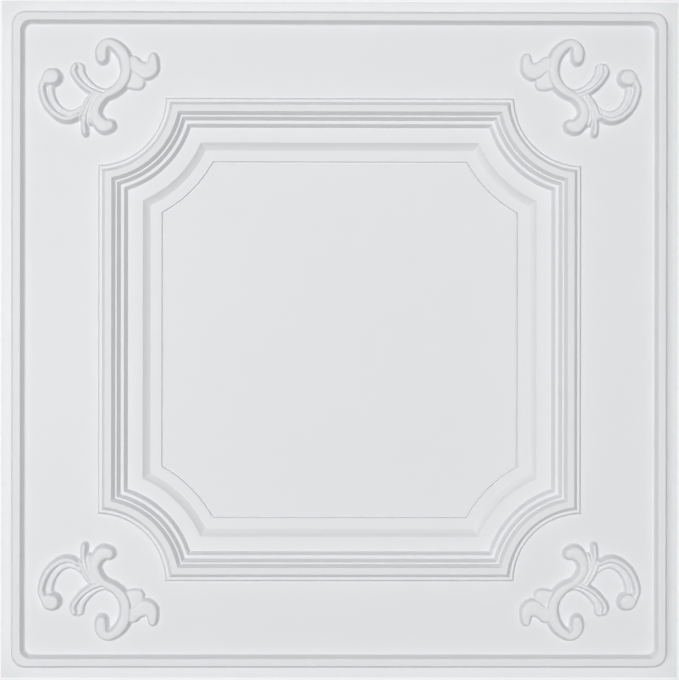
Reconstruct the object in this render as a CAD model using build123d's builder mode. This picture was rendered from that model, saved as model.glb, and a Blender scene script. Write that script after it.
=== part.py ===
"""Vacuum-formed PVC drop ceiling tile: one thin sheet with a rim, a stepped frame and corner scrolls.

The tile lies face up. X and Y are centred on it, Z is up, and Z = 0 is the back of its flange.
Levels and insets are those of the sheet's front. Its back is the same relief, lowered by the sheet.
"""
import os
from math import acos, atan2, cos, hypot, radians, sin, sqrt, tan

from build123d import *

# Sheet, in millimetres
tile_side = 603.0
sheet = 0.7

# Plan, from the tile's edge inwards
flange_width = 8.8
rim_batter = 6.6
rim_width = 6.1
rim_fall_width = 2.6
field_width = 64.4

# Corner radii of the rim: at its foot, its outer and inner crown lines, and the field
rim_foot_radius = 12.0
rim_crown_radius = 11.0
rim_brow_radius = 9.0
field_radius = 7.0

# Frame: a square with a quarter circle scooped out of each corner, then its section inwards
scoop_radius = 59.2
first_rise_width = 2.1
first_tread = 2.2
second_rise_width = 3.6
ridge_width = 5.7
fall_width = 2.6
upper_tread = 1.3
middle_tread = 2.8
band_width = 13.0
cove_width = 6.3
surround_width = 9.7
groove_width = 1.7
groove_wall = 0.4

# Heights, from the flange and the flat centre up
centre_rise = 2.0
groove_depth = 1.9
cove_rise = 4.0
fall_rise = 4.0
first_rise = 3.0
second_rise = 4.9
rim_rise = 4.9

# Scroll leaves in the +X +Y corner: each a row of (x, y, crest half width), from the frame's corner
stem = [(-4.2, 34, 3.4), (-3.9, 38.9, 4), (-5.3, 44.2, 3.3), (-10.5, 47, 2.7), (-17.7, 43.2, 3.3),
        (-23, 36.7, 3.7), (-25.2, 29.5, 3.6), (-25.6, 22.5, 3.4), (-24, 15.7, 3.4), (-20, 9.5, 3.2),
        (-14.1, 4.5, 2.7), (-6.8, 0.6, 2.3), (-0.7, -5.9, 2.8), (1.7, -13.3, 3.1), (0, -20, 3.8),
        (-5.3, -25.6, 4.7), (-10.4, -25.2, 3.7)]
mid_inner = [(-11.5, 7.8, 0.3), (-7.2, 5.7, 0.6), (-3, 6, 0.8), (1.9, 7.9, 1.1), (7, 11.6, 1.4),
             (10.9, 15.8, 1.6), (13.6, 20.5, 1.7), (14.3, 25.2, 1.6)]
mid_tip = [(14.3, 26.8, 1.4), (16.8, 28.2, 1.2), (19, 27.4, 1.2)]
mid_outer = [(-10.1, 3.8, 0.8), (-6.2, 2, 0.9), (-1.5, 2.5, 1.1), (4.1, 4.6, 1.2), (9.2, 7.6, 1.2),
             (13.2, 10.9, 1.2), (16.8, 15, 1.2), (19.8, 19.6, 1.3), (20.8, 23.4, 1.4), (19.5, 26.4, 1.4)]
big_inner = [(15.2, -9.4, 0.3), (18.5, -12.2, 0.8), (22.8, -13.9, 1.1), (27.6, -13.6, 1.2),
             (32.4, -11.2, 1.3), (36.4, -7.1, 1.5), (39.4, -2.1, 1.6), (41, 3.2, 1.7), (41.4, 7.7, 1.7)]
big_outer = [(16.7, -16.3, 0.9), (21, -18.7, 1.3), (26.4, -19.6, 1.5), (31.8, -18.3, 1.5), (37.1, -15, 1.5),
             (42, -10.1, 1.5), (45.5, -4.2, 1.5), (47.7, 2.3, 1.5), (48.3, 8.6, 1.6), (45.9, 14.5, 2)]
ball = [(40.8, 17, 5.6), (39.4, 17.2, 5.6)]
left_stalk = [(-1.9, 1.3, 0.8), (1.6, -2.1, 0.8), (4.5, -7.7, 0.8), (6.5, -13.5, 0.8), (7.1, -18.8, 0.8),
              (6.2, -22.9, 0.8)]
bud = [(2.2, 0.4, 0.8), (5.3, -4.5, 0.8), (7.9, -9.3, 0.9), (10, -14.5, 1), (11.4, -20.8, 1.2),
       (11.6, -26.7, 1.2), (10.9, -31.8, 1.1)]
right_stalk = [(4.7, 1.3, 0.8), (8.7, -4, 0.9), (11.5, -9.7, 1), (13.5, -14.6, 0.9), (14.9, -17.7, 0.7)]
crescent = [(-31.1, 29.2, 5.3), (-36.2, 25.6, 4.8), (-41.9, 22.8, 6.1), (-47, 24.8, 5.1),
            (-48.6, 29.7, 3.5), (-48.9, 33.8, 2.7), (-48.7, 35.5, 2)]
lobe = [(-28.4, 12.4, 3.9), (-31.4, 12.7, 5), (-35.3, 12.5, 5)]
lobe_neck = [(-29.8, 21.8, 1.2), (-31.4, 17, 3.2), (-32.8, 13.5, 3.9)]

# Height of each leaf above the field, the slope of its sides in degrees, and its least crest half width
leaves = [(stem, 5.4), (mid_inner, 2.9), (mid_tip, 2.8), (mid_outer, 5.1), (big_inner, 3.0),
          (big_outer, 5.4), (ball, 5.9), (left_stalk, 4.4), (bud, 4.8), (right_stalk, 5.0),
          (crescent, 4.2), (lobe, 2.9), (lobe_neck, 2.9)]
leaf_draft = 62.0
crest_least = 0.2

# How far a leaf is rooted in the sheet
leaf_root = 0.3

# Half of the angle in degrees that the cove turns, and its chords
cove_bend = 10.0
cove_steps = 4

# Half widths that follow, from the tile's edge inwards
rim_foot_half = tile_side / 2 - flange_width
rim_crown_half = rim_foot_half - rim_batter
rim_brow_half = rim_crown_half - rim_width
field_half = rim_brow_half - rim_fall_width
frame_half = field_half - field_width

# Insets that follow, from the frame's outer line inwards
second_inset = first_rise_width + first_tread
upper_fall_inset = second_inset + second_rise_width + ridge_width
middle_fall_inset = upper_fall_inset + fall_width + upper_tread
lower_fall_inset = middle_fall_inset + fall_width + middle_tread
cove_inset = lower_fall_inset + fall_width + band_width
groove_inset = cove_inset + cove_width + surround_width
panel_inset = groove_inset + groove_width

# Levels that follow, from the centre up to the rim
centre_level = sheet + centre_rise
band_level = centre_level + cove_rise
middle_level = band_level + fall_rise
upper_level = middle_level + fall_rise
ridge_level = upper_level + fall_rise
first_level = ridge_level - second_rise
field_level = first_level - first_rise
rim_level = field_level + rim_rise


def rounded_square(half, radius, level):
    """Sketch a square with rounded corners at a level."""
    with BuildSketch(Plane.XY.offset(level)) as outline:
        RectangleRounded(2 * half, 2 * half, radius)
    return outline.sketch


def scooped_square(inset, level):
    """Sketch the frame's outline, moved in by an inset, at a level."""
    half = frame_half - inset
    reach = frame_half - sqrt((scoop_radius + inset) ** 2 - inset ** 2)
    middle = frame_half - (scoop_radius + inset) * cos(radians(45))
    with BuildSketch(Plane.XY.offset(level)) as outline:
        with BuildLine():
            for turn in range(4):
                corners = [(half, -reach), (half, reach), (middle, middle), (reach, half)]
                start, end, scoop, finish = [Vector(*c).rotate(Axis.Z, 90 * turn) for c in corners]
                Line(start, end)
                ThreePointArc(end, scoop, finish)
        make_face()
    return outline.sketch


def leaf_outline(stations, growth, level):
    """Sketch a leaf's outline round its row of stations, its half widths grown, at a level."""
    spine = [Vector(frame_half + x, frame_half + y) for x, y, half in stations]
    halves = [max(half + growth, crest_least) for x, y, half in stations]
    last = len(spine) - 1
    ahead = [(spine[min(i + 1, last)] - spine[max(i - 1, 0)]).normalized() for i in range(last + 1)]
    aside = [step.rotate(Axis.Z, 90) for step in ahead]
    left = [p + n * h for p, n, h in zip(spine, aside, halves)]
    right = [p - n * h for p, n, h in zip(spine, aside, halves)]
    tail = spine[0] - ahead[0] * halves[0]
    tip = spine[-1] + ahead[-1] * halves[-1]
    with BuildSketch(Plane.XY.offset(level)) as outline:
        with BuildLine():
            Spline(*left)
            ThreePointArc(left[-1], tip, right[-1])
            Spline(*reversed(right))
            ThreePointArc(right[0], tail, left[0])
        make_face()
    return outline.sketch


def wall_shift(width, rise, depth):
    """Sideways move of a sloped wall, from the sheet's front to a surface at a depth below it."""
    return depth * tan(atan2(rise, width) / 2)


def cove_points(depth):
    """Points (across, down) of the cove, from its steep outer edge to its gentle inner one, at a depth."""
    slope = atan2(cove_rise, cove_width)
    bend = radians(cove_bend)
    radius = hypot(cove_width, cove_rise) / (2 * sin(bend))
    steep = slope + bend
    sunk = radius + depth
    first, last = [acos((radius * cos(angle) + depth) / sunk) for angle in (steep, slope - bend)]
    angles = [first + (last - first) * step / cove_steps for step in range(cove_steps + 1)]
    return [(radius * sin(steep) - sunk * sin(angle), sunk * cos(angle) - depth - radius * cos(steep))
            for angle in angles]


def loft_frame(stations, depth, mode=Mode.ADD):
    """Loft the frame's outline through (inset, level) stations, from the lowest up, in the open part."""
    sections = [scooped_square(inset, level - depth) for inset, level in stations]
    loft(sections, ruled=True, mode=mode)


def loft_leaf(stations, height, depth):
    """Loft one leaf, from inside the field's sheet up to its flat crest, in the open part."""
    draft = radians(leaf_draft)
    shift = depth * tan(draft / 2)
    root = leaf_outline(stations, (height + leaf_root) / tan(draft) - shift, field_level - leaf_root - depth)
    crest = leaf_outline(stations, -shift, field_level + height - depth)
    loft([root, crest], ruled=True)


def make_scrolls(depth):
    """Make one corner's leaves as one solid, on the sheet's front or back, and mirror it to each corner."""
    with BuildPart() as scrolls:
        for stations, height in leaves:
            loft_leaf(stations, height, depth)
        mirror(about=Plane.YZ)
        mirror(about=Plane.XZ)
    return scrolls.part


def make_relief(depth):
    """Make the solid under the formed face, lowered by a depth: 0 for the front, the sheet for the back."""
    with BuildPart() as relief:
        # Plinth within the flange, the rim on it, and the field sunk into the rim
        shift = wall_shift(rim_batter, rim_level - sheet, depth)
        foot = rounded_square(rim_foot_half - shift, rim_foot_radius, sheet - depth)
        crown = rounded_square(rim_crown_half - shift, rim_crown_radius, rim_level - depth)
        extrude(foot, amount=-sheet)
        loft([foot, crown], ruled=True)
        shift = wall_shift(rim_fall_width, rim_rise, depth)
        floor = rounded_square(field_half + shift, field_radius, field_level - depth)
        brow = rounded_square(rim_brow_half + shift, rim_brow_radius, rim_level - depth)
        loft([floor, brow], ruled=True, mode=Mode.SUBTRACT)

        # Frame, up: a small step, then a taller one to the ridge
        shift = wall_shift(first_rise_width, first_rise, depth)
        loft_frame([(shift, field_level), (shift + first_rise_width, first_level)], depth)
        shift = wall_shift(second_rise_width, second_rise, depth)
        foot = second_inset + shift
        loft_frame([(foot, first_level), (foot + second_rise_width, ridge_level)], depth)

        # Frame, down: three steps to the band, then a cove to the centre
        shift = wall_shift(fall_width, fall_rise, depth)
        for inset, level in ((upper_fall_inset, upper_level), (middle_fall_inset, middle_level),
                             (lower_fall_inset, band_level)):
            step = [(inset + fall_width - shift, level), (inset - shift, level + fall_rise)]
            loft_frame(step, depth, Mode.SUBTRACT)
        cove = cove_points(depth)
        hollow = [(cove_inset + across, band_level - down) for across, down in reversed(cove)]
        loft_frame(hollow, depth, Mode.SUBTRACT)

        # Groove round the centre panel: cut across the whole centre, then the panel put back
        shift = wall_shift(groove_wall, groove_depth, depth)
        bottom = centre_level - groove_depth
        outer = [(groove_inset + groove_wall - shift, bottom), (groove_inset - shift, centre_level)]
        inner = [(panel_inset - groove_wall + shift, bottom), (panel_inset + shift, centre_level)]
        loft_frame(outer, depth, Mode.SUBTRACT)
        loft_frame(inner, depth)
    return relief.part


# The tile: the front's solid on the flange, hollowed by the back's
front = make_relief(0)
front_scrolls = make_scrolls(0)
back = make_relief(sheet)
back_scrolls = make_scrolls(sheet)
with BuildPart() as ceiling_tile:
    Box(tile_side, tile_side, sheet, align=(Align.CENTER, Align.CENTER, Align.MIN))
    add([front, front_scrolls])
    add([back, back_scrolls], mode=Mode.SUBTRACT)
ceiling_tile.part.label = "ceiling_tile"

os.makedirs("parts", exist_ok=True)
export_step(ceiling_tile.part, "parts/ceiling_tile.step")
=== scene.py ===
"""Scene of a vacuum-formed PVC drop ceiling tile, laid out as a Blender add-on and run as a script.

The tile lies face up on a floor. X and Y are centred on it, Z is up, and Z = 0 is the back of its flange.
Lengths are in metres. The sheet is built as one quarter, from its edge inwards, and mirrored to the rest.
"""
from math import asin, atan2, cos, hypot, pi, radians, sin, tan

import bpy
import numpy as np
from bpy.props import FloatProperty, FloatVectorProperty, IntProperty, PointerProperty
from bpy.types import Operator, Panel, PropertyGroup
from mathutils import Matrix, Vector
from mathutils.geometry import delaunay_2d_cdt, interpolate_bezier


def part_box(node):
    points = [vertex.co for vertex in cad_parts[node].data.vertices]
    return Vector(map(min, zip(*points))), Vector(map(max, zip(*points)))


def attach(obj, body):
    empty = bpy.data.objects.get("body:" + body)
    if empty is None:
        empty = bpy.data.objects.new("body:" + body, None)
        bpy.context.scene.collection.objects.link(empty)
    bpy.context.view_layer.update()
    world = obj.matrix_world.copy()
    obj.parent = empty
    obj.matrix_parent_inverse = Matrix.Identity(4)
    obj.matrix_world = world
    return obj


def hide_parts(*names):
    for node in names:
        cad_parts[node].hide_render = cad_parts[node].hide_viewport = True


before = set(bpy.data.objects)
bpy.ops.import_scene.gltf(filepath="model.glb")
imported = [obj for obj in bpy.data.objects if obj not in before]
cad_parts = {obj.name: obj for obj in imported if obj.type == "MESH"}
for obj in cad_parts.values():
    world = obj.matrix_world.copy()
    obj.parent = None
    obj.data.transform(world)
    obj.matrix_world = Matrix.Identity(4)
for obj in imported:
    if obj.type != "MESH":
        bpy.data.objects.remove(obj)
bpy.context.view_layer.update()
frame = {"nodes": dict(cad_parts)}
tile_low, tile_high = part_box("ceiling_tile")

bl_info = {
    "name": "Ceiling Tile",
    "version": (1, 0, 0),
    "blender": (4, 5, 0),
    "location": "View3D > Sidebar > Ceiling Tile",
    "description": "Builds a vacuum-formed drop ceiling tile and a stage for it",
    "category": "Object",
}

MM = 0.001
WHITE = (1.0, 1.0, 1.0, 1.0)

# Points nearer than this, in metres, become one: where the quarters meet, and where the field is filled
QUARTER_WELD = 1e-6
FIELD_WELD = 1e-7

# Scroll leaves in the +X +Y corner, each with its height above the field and its row of stations:
# (x, y, crest half width) in millimetres from the corner of the frame's outer square
LEAVES = {
    "stem": (5.4, [
        (-4.2, 34, 3.4), (-3.9, 38.9, 4), (-5.3, 44.2, 3.3), (-10.5, 47, 2.7), (-17.7, 43.2, 3.3),
        (-23, 36.7, 3.7), (-25.2, 29.5, 3.6), (-25.6, 22.5, 3.4), (-24, 15.7, 3.4), (-20, 9.5, 3.2),
        (-14.1, 4.5, 2.7), (-6.8, 0.6, 2.3), (-0.7, -5.9, 2.8), (1.7, -13.3, 3.1), (0, -20, 3.8),
        (-5.3, -25.6, 4.7), (-10.4, -25.2, 3.7)]),
    "mid_inner": (2.9, [
        (-11.5, 7.8, 0.3), (-7.2, 5.7, 0.6), (-3, 6, 0.8), (1.9, 7.9, 1.1), (7, 11.6, 1.4),
        (10.9, 15.8, 1.6), (13.6, 20.5, 1.7), (14.3, 25.2, 1.6)]),
    "mid_tip": (2.8, [
        (14.3, 26.8, 1.4), (16.8, 28.2, 1.2), (19, 27.4, 1.2)]),
    "mid_outer": (5.1, [
        (-10.1, 3.8, 0.8), (-6.2, 2, 0.9), (-1.5, 2.5, 1.1), (4.1, 4.6, 1.2), (9.2, 7.6, 1.2),
        (13.2, 10.9, 1.2), (16.8, 15, 1.2), (19.8, 19.6, 1.3), (20.8, 23.4, 1.4), (19.5, 26.4, 1.4)]),
    "big_inner": (3.0, [
        (15.2, -9.4, 0.3), (18.5, -12.2, 0.8), (22.8, -13.9, 1.1), (27.6, -13.6, 1.2), (32.4, -11.2, 1.3),
        (36.4, -7.1, 1.5), (39.4, -2.1, 1.6), (41, 3.2, 1.7), (41.4, 7.7, 1.7)]),
    "big_outer": (5.4, [
        (16.7, -16.3, 0.9), (21, -18.7, 1.3), (26.4, -19.6, 1.5), (31.8, -18.3, 1.5), (37.1, -15, 1.5),
        (42, -10.1, 1.5), (45.5, -4.2, 1.5), (47.7, 2.3, 1.5), (48.3, 8.6, 1.6), (45.9, 14.5, 2)]),
    "ball": (5.9, [
        (40.8, 17, 5.6), (39.4, 17.2, 5.6)]),
    "left_stalk": (4.4, [
        (-1.9, 1.3, 0.8), (1.6, -2.1, 0.8), (4.5, -7.7, 0.8), (6.5, -13.5, 0.8), (7.1, -18.8, 0.8),
        (6.2, -22.9, 0.8)]),
    "bud": (4.8, [
        (2.2, 0.4, 0.8), (5.3, -4.5, 0.8), (7.9, -9.3, 0.9), (10, -14.5, 1), (11.4, -20.8, 1.2),
        (11.6, -26.7, 1.2), (10.9, -31.8, 1.1)]),
    "right_stalk": (5.0, [
        (4.7, 1.3, 0.8), (8.7, -4, 0.9), (11.5, -9.7, 1), (13.5, -14.6, 0.9), (14.9, -17.7, 0.7)]),
    "crescent": (4.2, [
        (-31.1, 29.2, 5.3), (-36.2, 25.6, 4.8), (-41.9, 22.8, 6.1), (-47, 24.8, 5.1), (-48.6, 29.7, 3.5),
        (-48.9, 33.8, 2.7), (-48.7, 35.5, 2)]),
    "lobe": (2.9, [
        (-28.4, 12.4, 3.9), (-31.4, 12.7, 5), (-35.3, 12.5, 5)]),
    "lobe_neck": (2.9, [
        (-29.8, 21.8, 1.2), (-31.4, 17, 3.2), (-32.8, 13.5, 3.9)]),
}


def length(name, description, millimetres):
    """A length property, with its default given in millimetres."""
    return FloatProperty(name=name, description=description, default=millimetres * MM, precision=5,
                         subtype="DISTANCE", unit="LENGTH")


def tilt(name, description, degrees):
    """An angle property, with its default given in degrees."""
    return FloatProperty(name=name, description=description, default=radians(degrees), subtype="ANGLE",
                         unit="ROTATION")


def amount(name, description, value):
    """A plain number property."""
    return FloatProperty(name=name, description=description, default=value)


def factor(name, description, value):
    """A number property from 0 to 1."""
    return FloatProperty(name=name, description=description, default=value, min=0.0, max=1.0,
                         subtype="FACTOR")


def wattage(name, description, watts):
    """A property for a lamp's power, in watts."""
    return FloatProperty(name=name, description=description, default=watts, unit="POWER")


def tint(name, description, colour):
    """A colour property, with its red, green and blue from 0 to 1."""
    return FloatVectorProperty(name=name, description=description, default=colour, size=3, min=0.0, max=1.0,
                               subtype="COLOR")


def whole(name, description, value, least):
    """A property for a whole number of steps in the mesh."""
    return IntProperty(name=name, description=description, default=value, min=least)


class RimSizes(PropertyGroup):
    """Flange and rim, from the tile's edge inwards"""
    flange_width: length("Flange", "Width of the flat flange round the tile", 8.8)
    batter: length("Batter", "Width in plan of the rim's outer wall", 6.6)
    width: length("Crown", "Width of the rim's flat crown", 6.1)
    fall_width: length("Fall", "Width in plan of the rim's inner slope", 2.6)
    rise: length("Rise", "Height of the rim above the field", 4.9)
    edge_radius: length("Edge corner", "Corner radius of the tile's cut edge", 0.6)
    foot_radius: length("Foot corner", "Corner radius at the foot of the rim's wall", 12.0)
    crown_radius: length("Crown corner", "Corner radius at the outside of the rim's crown", 11.0)
    brow_radius: length("Brow corner", "Corner radius at the inside of the rim's crown", 9.0)
    field_radius: length("Field corner", "Corner radius of the field", 7.0)
    crown_round: length("Crown rounding", "Rounding of the rim's crown in section", 0.6)
    foot_round: length("Foot rounding", "Rounding where the wall meets the flange", 0.6)
    field_round: length("Field rounding", "Rounding where the inner slope meets the field", 2.0)
    field_width: length("Field", "Width of the flat field between rim and frame", 64.4)


class FrameSizes(PropertyGroup):
    """Stepped frame with scooped corners, from its outer line inwards"""
    scoop_radius: length("Scoop", "Radius of the quarter circle scooped out of each corner", 59.2)
    first_rise_width: length("First rise width", "Width in plan of the first small step", 2.1)
    first_rise: length("First rise", "Height of the first small step", 3.0)
    first_tread: length("First tread", "Width of the tread on the first step", 2.2)
    second_rise_width: length("Second rise width", "Width in plan of the step up to the ridge", 3.6)
    second_rise: length("Second rise", "Height of the step up to the ridge", 4.9)
    ridge_width: length("Ridge", "Width of the flat ridge", 5.7)
    fall_width: length("Fall width", "Width in plan of each step down", 2.6)
    fall_rise: length("Fall", "Height of each step down", 4.0)
    upper_tread: length("Upper tread", "Width of the upper tread", 1.3)
    middle_tread: length("Middle tread", "Width of the middle tread", 2.8)
    band_width: length("Band", "Width of the flat band", 13.0)
    cove_width: length("Cove width", "Width in plan of the hollow moulding", 6.3)
    cove_rise: length("Cove", "Height of the hollow moulding", 4.0)
    cove_bend: tilt("Cove bend", "Half of the angle that the hollow moulding turns", 10.0)
    surround_width: length("Surround", "Width of the flat round the centre panel", 9.7)
    groove_width: length("Groove", "Width of the groove round the centre panel", 1.7)
    groove_wall: length("Groove wall", "Width in plan of each wall of the groove", 0.4)
    groove_depth: length("Groove depth", "Depth of the groove", 1.9)
    centre_rise: length("Centre rise", "Height of the centre panel above the flange", 2.0)
    crease_round: length("Crease rounding", "Rounding of the frame's edges in section", 0.3)
    ridge_round: length("Ridge rounding", "Rounding of the ridge's outer edge in section", 0.9)
    groove_round: length("Groove rounding", "Rounding of the groove's edges in section", 0.15)


class ScrollSizes(PropertyGroup):
    """Raised scroll in each corner of the field"""
    draft: tilt("Draft", "Slope of the leaves' sides", 62.0)
    dome_reach: length("Dome reach", "Width over which a leaf's crest domes up from its edge", 3.2)
    dome_slope: tilt("Dome slope", "Slope of a crest's dome at its edge", 17.0)
    crest_round: length("Crest rounding", "Height over which a leaf's crest rounds into its side", 0.3)
    foot_round: length("Foot rounding", "Height over which a leaf's side rounds into the field", 0.3)
    seam_round: length("Seam rounding", "Height over which one leaf rounds into the next", 0.2)
    front_cell: length("Front cell", "Side of a mesh cell on the front of the scrolls", 0.65)
    back_cell: length("Back cell", "Side of a mesh cell on the back of the scrolls", 1.2)


class PvcFinish(PropertyGroup):
    """Satin white PVC"""
    colour: tint("Colour", "Colour of the sheet", (0.765, 0.774, 0.790))
    shade: tint("Shade", "Colour of the sheet's faint darker patches", (0.752, 0.761, 0.779))
    smooth: factor("Smooth", "Least roughness of the skin", 0.45)
    dull: factor("Dull", "Greatest roughness of the skin", 0.55)
    peel_depth: length("Peel depth", "Depth of the fine orange peel in the skin", 0.012)
    peel_scale: amount("Peel scale", "Orange peel grains to a metre", 700.0)
    gloss_scale: amount("Gloss scale", "Patches of uneven gloss to a metre", 58.3333)
    patch_scale: amount("Patch scale", "Tone patches to a metre", 9.0)


class StageSettings(PropertyGroup):
    """Floor, lamps, backdrop and camera"""
    floor_colour: tint("Floor", "Colour of the floor", (0.93, 0.93, 0.93))
    floor_roughness: factor("Floor roughness", "Roughness of the floor", 0.8)
    floor_side: length("Floor side", "Length of the floor's side", 12000.0)
    fade_start: length("Fade start", "Distance from the centre at which the floor starts to whiten", 600.0)
    fade_end: length("Fade end", "Distance from the centre at which the floor is white", 2600.0)
    sky: amount("Sky", "Strength of the even light from all round", 0.1)
    left_power: wattage("Left lamp", "Power of the lamp on the left", 148.0)
    right_power: wattage("Right lamp", "Power of the lamp on the right", 72.0)
    top_power: wattage("Top lamp", "Power of the lamp at the picture's top", 79.0)
    bottom_power: wattage("Bottom lamp", "Power of the lamp at the picture's bottom", 31.0)
    lamp_side: length("Lamp side", "Length of each lamp's side", 2400.0)
    lamp_distance: length("Lamp distance", "Distance of each lamp from the tile's centre", 6000.0)
    left_rise: tilt("Left lamp rise", "Angle of the left lamp above the floor", 61.0)
    lamp_rise: tilt("Lamp rise", "Angle of the other lamps above the floor", 70.0)
    lens: amount("Lens", "Focal length of the camera, in millimetres", 48.6)
    sensor: amount("Sensor", "Width of the camera's sensor, in millimetres", 36.0)
    clip_start: length("Clip start", "Nearest distance that the camera sees", 10.0)
    camera_place: FloatVectorProperty(name="Camera", description="Place of the camera", size=3,
                                      subtype="TRANSLATION", unit="LENGTH",
                                      default=(-0.0032, 0.00013, 0.82013))
    camera_turn: FloatVectorProperty(name="Camera turn", description="Small turn from straight down",
                                     size=3, subtype="EULER", unit="ROTATION",
                                     default=(radians(-0.0282), radians(-0.2111), radians(0.0767)))


class TileSettings(PropertyGroup):
    """All settings of the tile and its stage"""
    side: FloatProperty(name="Side", description="Length of the tile's side", subtype="DISTANCE",
                        unit="LENGTH", precision=4, default=tile_high.x - tile_low.x)
    sheet: length("Sheet", "Thickness of the sheet", 0.7)
    round_steps: whole("Rounding steps", "Strips in each rounded edge", 4, 2)
    cove_steps: whole("Cove steps", "Strips in the hollow moulding", 8, 3)
    rim_steps: whole("Rim steps", "Segments in each rounded corner of the rim", 12, 4)
    scoop_steps: whole("Scoop steps", "Segments in each scooped corner of the frame", 32, 8)
    rim: PointerProperty(name="Rim", description="Sizes of the flange and rim", type=RimSizes)
    frame: PointerProperty(name="Frame", description="Sizes of the stepped frame", type=FrameSizes)
    scroll: PointerProperty(name="Scroll", description="Sizes of the corner scrolls", type=ScrollSizes)
    finish: PointerProperty(name="Finish", description="Looks of the white PVC", type=PvcFinish)
    stage: PointerProperty(name="Stage", description="Floor, lamps and camera", type=StageSettings)


class TilePlan:
    """Half widths, insets and levels that follow from the tile's sizes."""

    def __init__(self, tile):
        rim = tile.rim
        steps = tile.frame
        self.edge_half = tile.side / 2
        self.foot_half = self.edge_half - rim.flange_width
        self.crown_half = self.foot_half - rim.batter
        self.brow_half = self.crown_half - rim.width
        self.field_half = self.brow_half - rim.fall_width
        self.frame_half = self.field_half - rim.field_width
        self.scoop_radius = steps.scoop_radius
        self.second_inset = steps.first_rise_width + steps.first_tread
        self.upper_inset = self.second_inset + steps.second_rise_width + steps.ridge_width
        self.middle_inset = self.upper_inset + steps.fall_width + steps.upper_tread
        self.lower_inset = self.middle_inset + steps.fall_width + steps.middle_tread
        self.cove_inset = self.lower_inset + steps.fall_width + steps.band_width
        self.groove_inset = self.cove_inset + steps.cove_width + steps.surround_width
        self.panel_inset = self.groove_inset + steps.groove_width
        self.centre_level = tile.sheet + steps.centre_rise
        self.band_level = self.centre_level + steps.cove_rise
        self.middle_level = self.band_level + steps.fall_rise
        self.upper_level = self.middle_level + steps.fall_rise
        self.ridge_level = self.upper_level + steps.fall_rise
        self.first_level = self.ridge_level - steps.second_rise
        self.field_level = self.first_level - steps.first_rise
        self.rim_level = self.field_level + rim.rise


def cove_points(steps, count):
    """Points (across, down) of the hollow moulding, from its steep outer edge to its gentle inner one."""
    slope = atan2(steps.cove_rise, steps.cove_width)
    radius = hypot(steps.cove_width, steps.cove_rise) / (2 * sin(steps.cove_bend))
    steep = slope + steps.cove_bend
    angles = [steep - 2 * steps.cove_bend * place / count for place in range(count + 1)]
    return [(radius * (sin(steep) - sin(angle)), radius * (cos(angle) - cos(steep))) for angle in angles]


def rim_corners(tile, plan):
    """Corners of the flange and rim in section: (distance in from the edge, level, rounding)."""
    rim = tile.rim
    edge = plan.edge_half
    return [
        (0, tile.sheet, 0),
        (edge - plan.foot_half, tile.sheet, rim.foot_round),
        (edge - plan.crown_half, plan.rim_level, rim.crown_round),
        (edge - plan.brow_half, plan.rim_level, rim.crown_round),
        (edge - plan.field_half, plan.field_level, rim.field_round),
        (edge - plan.field_half + 2 * rim.field_round, plan.field_level, 0),
    ]


def frame_corners(tile, plan):
    """Corners of the frame in section: (inset, level, rounding), from the field to the centre panel."""
    steps = tile.frame
    crease = steps.crease_round
    margin = 3 * crease
    corners = [
        (-margin, plan.field_level, 0),
        (0, plan.field_level, crease),
        (steps.first_rise_width, plan.first_level, crease),
        (plan.second_inset, plan.first_level, crease),
        (plan.second_inset + steps.second_rise_width, plan.ridge_level, steps.ridge_round),
    ]
    falls = [(plan.upper_inset, plan.upper_level), (plan.middle_inset, plan.middle_level),
             (plan.lower_inset, plan.band_level)]
    for inset, level in falls:
        corners.append((inset, level + steps.fall_rise, crease))
        corners.append((inset + steps.fall_width, level, crease))
    for across, down in cove_points(steps, tile.cove_steps):
        edge = crease if across <= 0 or across >= steps.cove_width else 0
        corners.append((plan.cove_inset + across, plan.band_level - down, edge))
    bottom = plan.centre_level - steps.groove_depth
    corners += [
        (plan.groove_inset, plan.centre_level, steps.groove_round),
        (plan.groove_inset + steps.groove_wall, bottom, steps.groove_round),
        (plan.panel_inset - steps.groove_wall, bottom, steps.groove_round),
        (plan.panel_inset, plan.centre_level, steps.groove_round),
        (plan.panel_inset + margin, plan.centre_level, 0),
    ]
    return corners


def sunk_section(corners, depth):
    """The section of a face a depth under another and parallel to it, with its own roundings."""
    least_round = 0.1 * MM
    points = [Vector(corner[:2]) for corner in corners]
    ways = [(after - before).normalized() for before, after in zip(points, points[1:])]
    sunk = []
    for index, point in enumerate(points):
        before = ways[max(index - 1, 0)]
        after = ways[min(index, len(ways) - 1)]
        mitre = (before.orthogonal() + after.orthogonal()) / (1 + before.dot(after))
        rounding = corners[index][2]
        if rounding > 0:
            hollow = before.cross(after) > 0
            rounding = rounding + depth if hollow else max(rounding - depth, least_round)
        place = point - mitre * depth
        sunk.append((place.x, place.y, rounding))
    return sunk


def rounded_section(corners, steps):
    """Points along a section, with each corner rounded by a curve of its rounding."""
    arc_handle = 0.56
    most_cut = 0.47
    points = [Vector(corner[:2]) for corner in corners]
    rounded = [points[0]]
    for index in range(1, len(points) - 1):
        corner = points[index]
        back = points[index - 1] - corner
        ahead = points[index + 1] - corner
        turn = pi - back.angle(ahead)
        cut = min(corners[index][2] * tan(turn / 2), most_cut * back.length, most_cut * ahead.length)
        if cut <= 0:
            rounded.append(corner)
            continue
        start = corner + back.normalized() * cut
        end = corner + ahead.normalized() * cut
        first_handle = start.lerp(corner, arc_handle)
        last_handle = end.lerp(corner, arc_handle)
        rounded += interpolate_bezier(start, first_handle, last_handle, end, steps + 1)
    rounded.append(points[-1])
    return [(point.x, point.y) for point in rounded]


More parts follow.
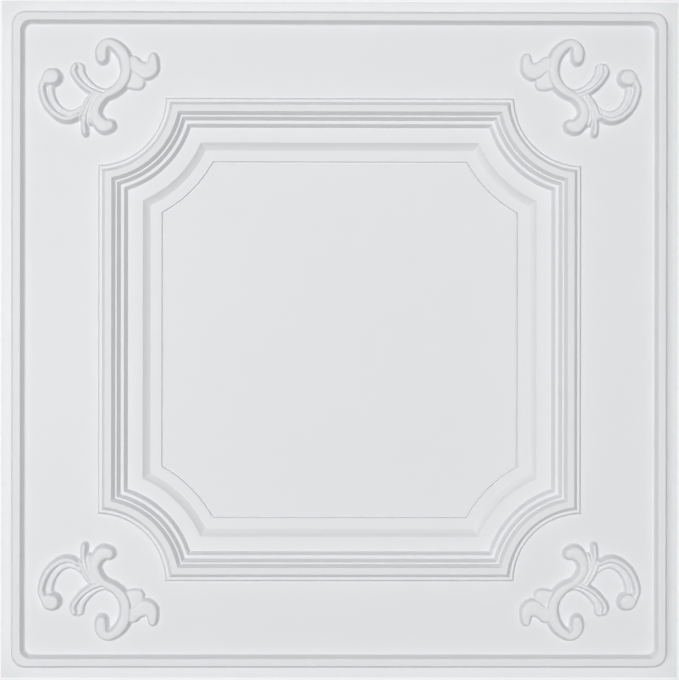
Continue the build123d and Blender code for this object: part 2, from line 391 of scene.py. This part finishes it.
def rounded_path(half, radius, steps):
    """Quarter of a square with rounded corners, from the X axis to the Y axis."""
    centre = half - radius
    angles = np.linspace(0, pi / 2, steps + 1)
    corner = [(centre + radius * cos(angle), centre + radius * sin(angle)) for angle in angles]
    return [(half, 0.0)] + corner + [(0.0, half)]


def scooped_path(plan, inset, steps):
    """Quarter of the frame's outline, moved in by an inset, from the X axis to the Y axis."""
    centre = plan.frame_half
    half = centre - inset
    radius = plan.scoop_radius + inset
    lead = asin(inset / radius)
    angles = np.linspace(lead, pi / 2 - lead, steps + 1)
    scoop = [(centre - radius * sin(angle), centre - radius * cos(angle)) for angle in angles]
    return [(half, 0.0)] + scoop + [(0.0, half)]


def soft_max(first, second, band):
    """The larger of two heights, rounded where they come within a band of each other."""
    overlap = np.maximum(band - np.abs(first - second), 0)
    return np.maximum(first, second) + overlap ** 2 / (4 * band)


def leaf_spine(stations, corner):
    """Points (x, y, crest half width) set closely along a leaf's smooth spine."""
    spacing = 0.35 * MM
    knots = [Vector((corner + x * MM, corner + y * MM, half * MM)) for x, y, half in stations]
    last = len(knots) - 1
    # Handles of a sixth of the way between a knot's neighbours make the curve smooth at the knot
    slopes = [(knots[min(i + 1, last)] - knots[max(i - 1, 0)]) / 6 for i in range(last + 1)]
    spine = []
    for i in range(last):
        count = 2 + int((knots[i + 1] - knots[i]).length / spacing)
        start_handle = knots[i] + slopes[i]
        end_handle = knots[i + 1] - slopes[i + 1]
        spine += interpolate_bezier(knots[i], start_handle, end_handle, knots[i + 1], count)
    return spine


def scroll_heights(tile, plan, depth, across, along):
    """Height of the scroll above the field, over a grid of points, on the face at a depth."""
    scroll = tile.scroll
    slope = tan(scroll.draft)
    shift = depth * tan(scroll.draft / 2)
    far = 1.0
    heights = np.full(across.shape, -far)
    for leaf_height, stations in LEAVES.values():
        gap = np.full(across.shape, far)
        breadth = np.full(across.shape, far)
        for x, y, half in leaf_spine(stations, plan.frame_half):
            reach = np.hypot(across - x, along - y) - half + shift
            nearer = reach < gap
            gap[nearer] = reach[nearer]
            breadth[nearer] = half
        run = np.minimum(breadth, scroll.dome_reach)
        inwards = np.clip(-gap / run, 0, 1)
        # The dome stands half above and half below the leaf's own height
        swell = run * tan(scroll.dome_slope) / 2
        crest = leaf_height * MM + swell * (0.5 - (1 - inwards) ** 2)
        side = leaf_height * MM - gap * slope
        leaf = -soft_max(-side, -crest, scroll.crest_round)
        heights = soft_max(heights, leaf, scroll.seam_round)
    return soft_max(heights, np.zeros_like(heights), scroll.foot_round)


class Shell:
    """Points, faces and creased edges of the sheet's quarter, as they are added."""

    def __init__(self):
        self.points = []
        self.faces = []
        self.creases = set()

    def add_points(self, places):
        """Add points and return their numbers."""
        start = len(self.points)
        self.points += [tuple(float(value) for value in place) for place in places]
        return list(range(start, len(self.points)))

    def add_ring(self, path, level):
        """Add a path's points at a level and return their numbers."""
        return self.add_points([(x, y, level) for x, y in path])

    def add_face(self, corners, up):
        """Add a face given in the order that faces up, or turn it over."""
        self.faces.append(tuple(corners) if up else tuple(reversed(corners)))

    def add_strips(self, rings, up):
        """Join each ring to the next one inwards."""
        for outer, inner in zip(rings, rings[1:]):
            for k in range(len(outer) - 1):
                self.add_face((outer[k], outer[k + 1], inner[k + 1], inner[k]), up)

    def crease(self, row):
        """Keep the edges along a row of points sharp."""
        self.creases.update(tuple(sorted(pair)) for pair in zip(row, row[1:]))


def add_rim(shell, tile, plan, depth):
    """Add the flange and rim and return their first and last rings."""
    rim = tile.rim
    halves = [plan.field_half, plan.brow_half, plan.crown_half, plan.foot_half, plan.edge_half]
    radii = [rim.field_radius, rim.brow_radius, rim.crown_radius, rim.foot_radius, rim.edge_radius]
    corners = sunk_section(rim_corners(tile, plan), depth)
    rings = []
    for inset, level in rounded_section(corners, tile.round_steps):
        half = plan.edge_half - inset
        path = rounded_path(half, np.interp(half, halves, radii), tile.rim_steps)
        rings.append(shell.add_ring(path, level))
    shell.add_strips(rings, depth == 0)
    return rings[0], rings[-1]


def add_frame(shell, tile, plan, depth):
    """Add the frame's mouldings and the centre panel, and return the frame's outer ring."""
    up = depth == 0
    corners = sunk_section(frame_corners(tile, plan), depth)
    section = rounded_section(corners, tile.round_steps)
    rings = [shell.add_ring(scooped_path(plan, inset, tile.scoop_steps), level) for inset, level in section]
    shell.add_strips(rings, up)
    for mitre in (1, tile.scoop_steps + 1):
        shell.crease([ring[mitre] for ring in rings])
    centre = shell.add_points([(0, 0, section[-1][1])])
    shell.add_face(centre + rings[-1], up)
    return rings[0]


def add_scroll(shell, tile, plan, depth, cell):
    """Add the scroll's patch of cells and return its outline, as point pairs, and a test for its cells."""
    level = plan.field_level - depth
    margin = 3 * cell
    slope = tan(tile.scroll.draft)
    reach = [(x, y, half + height / slope)
             for height, stations in LEAVES.values() for x, y, half in stations]
    low_x = plan.frame_half + min(x - wide for x, y, wide in reach) * MM - margin
    high_x = plan.frame_half + max(x + wide for x, y, wide in reach) * MM + margin
    low_y = plan.frame_half + min(y - wide for x, y, wide in reach) * MM - margin
    high_y = plan.frame_half + max(y + wide for x, y, wide in reach) * MM + margin
    across, along = np.meshgrid(np.arange(low_x, high_x, cell), np.arange(low_y, high_y, cell))
    heights = scroll_heights(tile, plan, depth, across, along)

    # Cells with any height, and one more all round so that the patch meets the field level
    raised = heights > 0
    cells = raised[:-1, :-1] | raised[1:, :-1] | raised[:-1, 1:] | raised[1:, 1:]
    used = np.zeros(heights.shape, bool)
    for rows, columns in ((slice(0, -1), slice(0, -1)), (slice(1, None), slice(0, -1)),
                          (slice(0, -1), slice(1, None)), (slice(1, None), slice(1, None))):
        used[rows, columns] |= cells
    numbers = np.full(heights.shape, -1)
    places = np.column_stack([across[used], along[used], level + heights[used]])
    numbers[used] = shell.add_points(places)

    # Each cell is halved along the diagonal that lies more level, so that edges follow the leaves
    for row, column in np.argwhere(cells):
        a, b = numbers[row, column], numbers[row, column + 1]
        d, c = numbers[row + 1, column], numbers[row + 1, column + 1]
        rise_ac = abs(heights[row, column] - heights[row + 1, column + 1])
        rise_bd = abs(heights[row, column + 1] - heights[row + 1, column])
        halves = ((a, b, c), (a, c, d)) if rise_ac < rise_bd else ((a, b, d), (b, c, d))
        for half in halves:
            shell.add_face([int(number) for number in half], depth == 0)

    # Outline: the edges with a cell on one side only
    framed = np.pad(cells, 1)
    outline = []
    for row, column in np.argwhere(framed[:-1, 1:-1] != framed[1:, 1:-1]):
        outline.append((int(numbers[row, column]), int(numbers[row, column + 1])))
    for row, column in np.argwhere(framed[1:-1, :-1] != framed[1:-1, 1:]):
        outline.append((int(numbers[row, column]), int(numbers[row + 1, column])))

    def covers(x, y):
        """Whether a point in plan lies on one of the patch's cells."""
        row = int((y - low_y) // cell)
        column = int((x - low_x) // cell)
        inside = 0 <= row < cells.shape[0] and 0 <= column < cells.shape[1]
        return bool(inside and cells[row, column])

    return outline, covers


def add_field(shell, plan, up, rim_ring, frame_ring, outline, covered):
    """Fill the flat field between the rim, the frame and the scroll's outline."""
    numbers = sorted(set(rim_ring) | set(frame_ring) | {number for pair in outline for number in pair})
    place_of = {number: place for place, number in enumerate(numbers)}
    borders = list(zip(rim_ring, rim_ring[1:])) + list(zip(frame_ring, frame_ring[1:])) + outline
    borders += [(rim_ring[0], frame_ring[0]), (rim_ring[-1], frame_ring[-1])]
    edges = [(place_of[first], place_of[second]) for first, second in borders]
    flat = [Vector(shell.points[number][:2]) for number in numbers]
    # The fill reaches out to the hull of the points, so faces off the field are then left out
    to_hull = 0
    found, _, faces, sources, _, _ = delaunay_2d_cdt(flat, edges, [], to_hull, FIELD_WELD)
    frame_path = [shell.points[number] for number in frame_ring]
    half = frame_path[0][0]
    scoop = (Vector(frame_path[1][:2]) - Vector((plan.frame_half, plan.frame_half))).length
    for face in faces:
        middle = sum((found[i] for i in face), Vector((0, 0))) / len(face)
        in_scoop = (middle - Vector((plan.frame_half, plan.frame_half))).length < scoop
        in_frame = max(middle) < half and not in_scoop
        if in_frame or covered(*middle):
            continue
        shell.add_face([numbers[sources[i][0]] for i in face], up)


def build_quarter(tile):
    """Build the sheet's quarter: its front, its back a sheet's thickness under it, and its cut edge."""
    plan = TilePlan(tile)
    shell = Shell()
    edges = []
    for depth, cell in ((0.0, tile.scroll.front_cell), (tile.sheet, tile.scroll.back_cell)):
        edge_ring, rim_ring = add_rim(shell, tile, plan, depth)
        frame_ring = add_frame(shell, tile, plan, depth)
        outline, covered = add_scroll(shell, tile, plan, depth, cell)
        add_field(shell, plan, depth == 0, rim_ring, frame_ring, outline, covered)
        edges.append(edge_ring)
    front_edge, back_edge = edges
    shell.add_strips([back_edge, front_edge], True)
    shell.crease(front_edge)
    shell.crease(back_edge)
    return shell


def make_node(tree, kind, x, y, **values):
    """Add a shader node at a place in the tree and set its unlinked inputs by name."""
    node = tree.nodes.new(kind)
    node.location = (x, y)
    for name, value in values.items():
        node.inputs[name.replace("_", " ")].default_value = value
    return node


def make_white_pvc(finish):
    """Satin white PVC: faint tone patches, uneven gloss and fine orange peel."""
    material = bpy.data.materials.new("white_pvc")
    material.use_nodes = True
    tree = material.node_tree
    link = tree.links.new
    skin = tree.nodes["Principled BSDF"]
    place = make_node(tree, "ShaderNodeTexCoord", -1100, 0)

    patches = make_node(tree, "ShaderNodeTexNoise", -850, 250, Scale=finish.patch_scale, Detail=3.0)
    # The mix node's colour sockets stand after those for numbers and vectors
    tone = make_node(tree, "ShaderNodeMix", -400, 250)
    tone.data_type = "RGBA"
    tone.inputs[6].default_value = (*finish.shade, 1.0)
    tone.inputs[7].default_value = (*finish.colour, 1.0)
    link(place.outputs["Object"], patches.inputs["Vector"])
    link(patches.outputs["Fac"], tone.inputs["Factor"])
    link(tone.outputs[2], skin.inputs["Base Color"])

    gloss = make_node(tree, "ShaderNodeTexNoise", -850, -50, Scale=finish.gloss_scale, Detail=4.0)
    dulling = make_node(tree, "ShaderNodeMapRange", -400, -50, To_Min=finish.smooth, To_Max=finish.dull)
    link(place.outputs["Object"], gloss.inputs["Vector"])
    link(gloss.outputs["Fac"], dulling.inputs["Value"])
    link(dulling.outputs["Result"], skin.inputs["Roughness"])

    peel = make_node(tree, "ShaderNodeTexNoise", -850, -350, Scale=finish.peel_scale, Detail=2.0)
    relief = make_node(tree, "ShaderNodeBump", -400, -350, Strength=1.0, Distance=finish.peel_depth)
    link(place.outputs["Object"], peel.inputs["Vector"])
    link(peel.outputs["Fac"], relief.inputs["Height"])
    link(relief.outputs["Normal"], skin.inputs["Normal"])
    return material


class CEILINGTILE_OT_sheet(Operator):
    """Build the formed sheet: flange, rim, field, frame, centre panel and corner scrolls"""
    bl_idname = "ceiling_tile.sheet"
    bl_label = "Formed Sheet"

    def execute(self, context):
        tile = context.scene.ceiling_tile
        shell = build_quarter(tile)
        mesh = bpy.data.meshes.new("formed_sheet")
        mesh.from_pydata(shell.points, [], shell.faces)
        mesh.validate()
        if not mesh.polygons:
            raise RuntimeError("the formed sheet has no faces")
        for edge in mesh.edges:
            if tuple(sorted(edge.vertices)) in shell.creases:
                edge.use_edge_sharp = True
        mesh.shade_smooth()
        mesh.materials.append(make_white_pvc(tile.finish))
        sheet = bpy.data.objects.new("formed_sheet", mesh)
        context.scene.collection.objects.link(sheet)

        mirror = sheet.modifiers.new("Other quarters", "MIRROR")
        mirror.use_axis = (True, True, False)
        mirror.merge_threshold = QUARTER_WELD
        normals = sheet.modifiers.new("Clean flats", "WEIGHTED_NORMAL")
        normals.mode = "FACE_AREA"
        normals.keep_sharp = True

        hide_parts("ceiling_tile")
        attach(sheet, "root")
        return {"FINISHED"}


def add_lamp(collection, name, power, side, place):
    """Add a square soft lamp that faces the tile's centre."""
    lamp = bpy.data.lights.new(name, "AREA")
    lamp.shape = "SQUARE"
    lamp.size = side
    lamp.energy = power
    holder = bpy.data.objects.new(name, lamp)
    holder.location = place
    holder.rotation_euler = (-place).to_track_quat("-Z", "Y").to_euler()
    collection.objects.link(holder)


def sight_rays(tree, x, y):
    """An output that is 1 for rays of the camera, of reflections and through clear things, and else 0."""
    path = make_node(tree, "ShaderNodeLightPath", x, y)
    sight = path.outputs["Is Camera Ray"]
    for column, kind in enumerate(("Is Glossy Ray", "Is Transmission Ray"), 1):
        either = make_node(tree, "ShaderNodeMath", x + 200 * column, y)
        either.operation = "MAXIMUM"
        tree.links.new(sight, either.inputs[0])
        tree.links.new(path.outputs[kind], either.inputs[1])
        sight = either.outputs[0]
    return sight


def make_backdrop(scene, sky):
    """Even light from all round, seen as white by the camera and in reflections."""
    world = bpy.data.worlds.new("backdrop")
    world.use_nodes = True
    tree = world.node_tree
    link = tree.links.new
    light = tree.nodes["Background"]
    light.inputs["Color"].default_value = WHITE
    light.inputs["Strength"].default_value = sky
    white = make_node(tree, "ShaderNodeBackground", 0, -200, Color=WHITE, Strength=1.0)
    choice = make_node(tree, "ShaderNodeMixShader", 250, 0)
    link(sight_rays(tree, -400, 300), choice.inputs["Fac"])
    link(light.outputs[0], choice.inputs[1])
    link(white.outputs[0], choice.inputs[2])
    link(choice.outputs[0], tree.nodes["World Output"].inputs["Surface"])
    scene.world = world


def make_floor_paint(stage):
    """Pale paint that is seen to fade into the white backdrop, away from the tile."""
    material = bpy.data.materials.new("floor_paint")
    material.use_nodes = True
    tree = material.node_tree
    link = tree.links.new
    paint = tree.nodes["Principled BSDF"]
    paint.inputs["Base Color"].default_value = (*stage.floor_colour, 1.0)
    paint.inputs["Roughness"].default_value = stage.floor_roughness
    place = make_node(tree, "ShaderNodeTexCoord", -800, 300)
    away = make_node(tree, "ShaderNodeVectorMath", -600, 300)
    away.operation = "LENGTH"
    fade = make_node(tree, "ShaderNodeMapRange", -400, 300, From_Min=stage.fade_start,
                     From_Max=stage.fade_end)
    seen = make_node(tree, "ShaderNodeMath", 100, 400)
    seen.operation = "MULTIPLY"
    white = make_node(tree, "ShaderNodeEmission", 0, -400, Color=WHITE, Strength=1.0)
    choice = make_node(tree, "ShaderNodeMixShader", 300, 200)
    link(place.outputs["Object"], away.inputs[0])
    link(away.outputs["Value"], fade.inputs["Value"])
    link(fade.outputs["Result"], seen.inputs[0])
    link(sight_rays(tree, -400, 600), seen.inputs[1])
    link(seen.outputs[0], choice.inputs["Fac"])
    link(paint.outputs[0], choice.inputs[1])
    link(white.outputs[0], choice.inputs[2])
    link(choice.outputs[0], tree.nodes["Material Output"].inputs["Surface"])
    return material


def make_floor(scene, stage):
    """A plain pale floor just under the tile."""
    drop = 0.05 * MM
    half = stage.floor_side / 2
    corners = [(-half, -half, -drop), (half, -half, -drop), (half, half, -drop), (-half, half, -drop)]
    mesh = bpy.data.meshes.new("floor")
    mesh.from_pydata(corners, [], [(0, 1, 2, 3)])
    mesh.materials.append(make_floor_paint(stage))
    floor = bpy.data.objects.new("floor", mesh)
    scene.collection.objects.link(floor)


class CEILINGTILE_OT_stage(Operator):
    """Build the floor, the soft lamps, the backdrop and the camera"""
    bl_idname = "ceiling_tile.stage"
    bl_label = "Stage"

    def execute(self, context):
        scene = context.scene
        stage = scene.ceiling_tile.stage
        make_floor(scene, stage)
        make_backdrop(scene, stage.sky)
        lamps = [("left_lamp", stage.left_power, stage.left_rise, (-1, 0)),
                 ("right_lamp", stage.right_power, stage.lamp_rise, (1, 0)),
                 ("top_lamp", stage.top_power, stage.lamp_rise, (0, 1)),
                 ("bottom_lamp", stage.bottom_power, stage.lamp_rise, (0, -1))]
        for name, power, rise, (across, along) in lamps:
            way = Vector((across * cos(rise), along * cos(rise), sin(rise)))
            add_lamp(scene.collection, name, power, stage.lamp_side, way * stage.lamp_distance)

        camera = bpy.data.cameras.new("camera")
        camera.lens = stage.lens
        camera.sensor_width = stage.sensor
        camera.clip_start = stage.clip_start
        holder = bpy.data.objects.new("camera", camera)
        holder.location = stage.camera_place
        holder.rotation_euler = stage.camera_turn
        scene.collection.objects.link(holder)
        scene.camera = holder
        scene.view_settings.view_transform = "Standard"
        return {"FINISHED"}


class VIEW3D_PT_ceiling_tile(Panel):
    """Sizes and builders of the ceiling tile"""
    bl_label = "Ceiling Tile"
    bl_space_type = "VIEW_3D"
    bl_region_type = "UI"
    bl_category = "Ceiling Tile"

    def draw(self, context):
        layout = self.layout
        tile = context.scene.ceiling_tile
        for name in ("side", "sheet", "round_steps", "cove_steps", "rim_steps", "scoop_steps"):
            layout.prop(tile, name)
        for group in (tile.rim, tile.frame, tile.scroll, tile.finish):
            box = layout.box()
            for name in group.__annotations__:
                box.prop(group, name)
        layout.operator(CEILINGTILE_OT_sheet.bl_idname)
        box = layout.box()
        for name in tile.stage.__annotations__:
            box.prop(tile.stage, name)
        layout.operator(CEILINGTILE_OT_stage.bl_idname)


classes = (RimSizes, FrameSizes, ScrollSizes, PvcFinish, StageSettings, TileSettings,
           CEILINGTILE_OT_sheet, CEILINGTILE_OT_stage, VIEW3D_PT_ceiling_tile)


def register():
    """Register the classes and hang the tile's settings on the scene."""
    for cls in classes:
        bpy.utils.register_class(cls)
    bpy.types.Scene.ceiling_tile = PointerProperty(type=TileSettings)


def unregister():
    """Take the settings and the classes away again."""
    del bpy.types.Scene.ceiling_tile
    for cls in reversed(classes):
        bpy.utils.unregister_class(cls)


def main():
    """Register the add-on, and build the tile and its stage."""
    register()
    bpy.ops.ceiling_tile.sheet()
    bpy.ops.ceiling_tile.stage()


if __name__ == "__main__":
    main()
